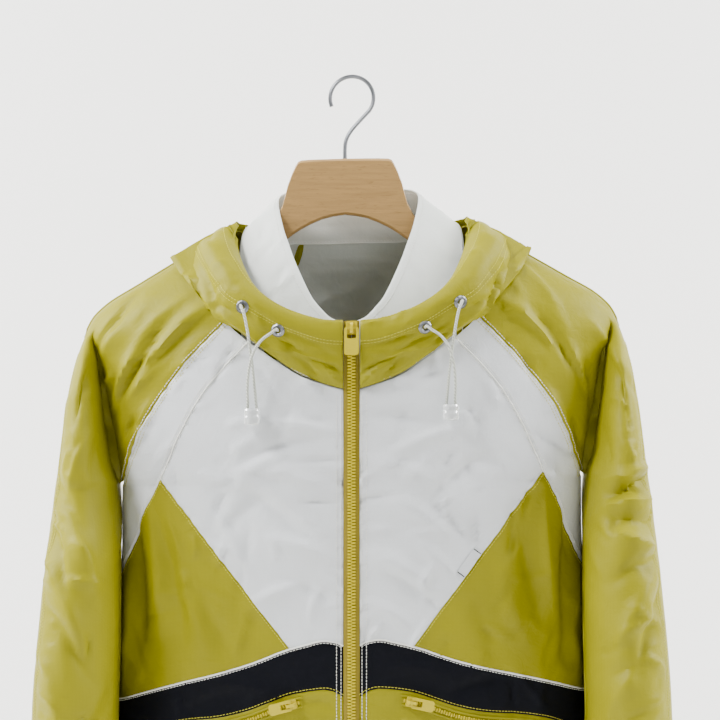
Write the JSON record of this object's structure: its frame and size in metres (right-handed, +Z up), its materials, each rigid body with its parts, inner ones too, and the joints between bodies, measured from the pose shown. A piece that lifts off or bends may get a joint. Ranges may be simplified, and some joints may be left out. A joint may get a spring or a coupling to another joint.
{
  "type": "windbreaker jacket on a hanger",
  "caption": "Hooded nylon windbreaker with raglan sleeves, colour-blocked chest, front zip and zip pockets, hung on a contoured wooden hanger with a wire hook.",
  "frame": {"origin": "underside of the hanger hook's crest, where it bears on a rail; the middle of the jacket is under it", "axes": "+Z up, -Y the front of the jacket, +X towards the wearer's left"},
  "size_m": [0.5558, 0.2042, 0.84],
  "materials": {
    "shell_nylon": "plain woven nylon, semi-matt",
    "white_nylon": "plain woven nylon, semi-matt",
    "navy_nylon": "plain woven nylon, semi-matt",
    "lining": "plain woven nylon lining",
    "zip_tape": "woven polyester tape",
    "zip_resin": "injection-moulded resin, satin",
    "eyelet_steel": "pressed and plated, dull",
    "cord": "braided polyester",
    "stopper_resin": "injection-moulded, clear to white",
    "label_tape": "woven tape, blank",
    "wood": "sanded, thin satin lacquer",
    "hook_steel": "bent wire, dull plated"
  },
  "bodies": {
    "jacket": {"front_upper_L": "white_nylon", "front_upper_R": "white_nylon", "raglan_strip_L": "white_nylon", "raglan_strip_R": "white_nylon", "front_side_L": "shell_nylon", "front_side_R": "shell_nylon", "front_lower_L": "shell_nylon", "front_lower_R": "shell_nylon", "hem_front_L": "shell_nylon", "hem_front_R": "shell_nylon", "back": "shell_nylon", "hem_back": "shell_nylon", "sleeve_front_L": "shell_nylon", "sleeve_front_R": "shell_nylon", "sleeve_back_L": "shell_nylon", "sleeve_back_R": "shell_nylon", "cuff_L": "shell_nylon", "cuff_R": "shell_nylon", "hood_side_L": "shell_nylon", "hood_side_R": "shell_nylon", "hood_centre": "shell_nylon", "navy_band_L": "navy_nylon", "navy_band_R": "navy_nylon", "back_lining": "lining", "collar": "lining", "zip_tape_L": "zip_tape", "zip_tape_R": "zip_tape", "zip_teeth_L": "zip_resin", "zip_teeth_R": "zip_resin", "zip_stop": "zip_resin", "zip_slider": "zip_resin", "pocket_zip_L": "zip_resin", "pocket_zip_R": "zip_resin", "pocket_slider_L": "zip_resin", "pocket_slider_R": "zip_resin", "eyelet_outer_L": "eyelet_steel", "eyelet_outer_R": "eyelet_steel", "eyelet_inner_L": "eyelet_steel", "eyelet_inner_R": "eyelet_steel", "drawcord_L": "cord", "drawcord_R": "cord", "cord_stopper_L": "stopper_resin", "cord_stopper_R": "stopper_resin", "label_L": "label_tape", "hanger": "wood", "hanger_hook": "hook_steel"},
    "zip_pull": {"zip_pull": "zip_resin"},
    "pocket_pull_L": {"pocket_pull_L": "zip_resin"},
    "pocket_pull_R": {"pocket_pull_R": "zip_resin"}
  },
  "joints": [
    {"name": "zip_pull_hinge", "type": "hinge", "parent": "jacket", "child": "zip_pull", "pos_m": [0, -0.0754, -0.2195], "axis": [-1, 0, 0], "range_deg": [0, 150]},
    {"name": "pocket_pull_left_hinge", "type": "hinge", "parent": "jacket", "child": "pocket_pull_L", "pos_m": [0.05133, -0.07004, -0.53671], "axis": [-0.2129, 0.0084, -0.977], "range_deg": [0, 150]},
    {"name": "pocket_pull_right_hinge", "type": "hinge", "parent": "jacket", "child": "pocket_pull_R", "pos_m": [-0.05133, -0.07004, -0.53897], "axis": [-0.2533, -0.0084, 0.9673], "range_deg": [0, 150]}
  ]
}
